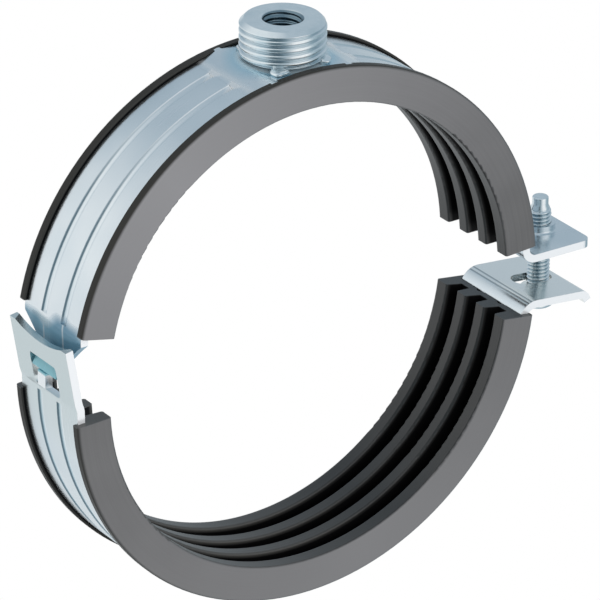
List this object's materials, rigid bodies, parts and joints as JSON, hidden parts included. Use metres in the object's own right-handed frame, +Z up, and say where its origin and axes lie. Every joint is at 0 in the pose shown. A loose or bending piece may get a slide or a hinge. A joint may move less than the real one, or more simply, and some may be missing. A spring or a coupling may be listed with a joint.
{
  "type": "rubber lined pipe clamp",
  "caption": "Hinged steel pipe clamp with a rubber lining, a closing screw through its ears and a threaded rod socket on top.",
  "frame": {"origin": "centre of the clamped pipe at the middle of the strip's width, taken on the upper half", "axes": "+Y along the pipe, +Z up the rod that the clamp hangs from, +X towards the ears and the closing screw"},
  "size_m": [0.1536, 0.0286, 0.1474],
  "materials": {
    "strip_steel": "bright zinc plated",
    "turned_steel": "bright zinc plated",
    "lining_rubber": "satin, extruded"
  },
  "bodies": {
    "upper_half": {"upper_band": "strip_steel", "upper_lining": "lining_rubber", "rod_socket": "turned_steel"},
    "lower_half": {"lower_band": "strip_steel", "lower_lining": "lining_rubber"},
    "screw": {"closing_screw": "turned_steel"}
  },
  "joints": [
    {"name": "shell_swing", "type": "hinge", "parent": "upper_half", "child": "lower_half", "pos_m": [-0.066, 0, -0.004], "axis": [0, -1, 0], "range_deg": [-1, 4.38]},
    {"name": "screw_lift", "type": "slide", "parent": "upper_half", "child": "screw", "axis": [0, 0, 1], "range_m": [-0.003, 0.0115]}
  ],
  "couplings": [
    {"joint": "screw_lift", "follows": "shell_swing", "m_per_rad": 0.1438}
  ]
}
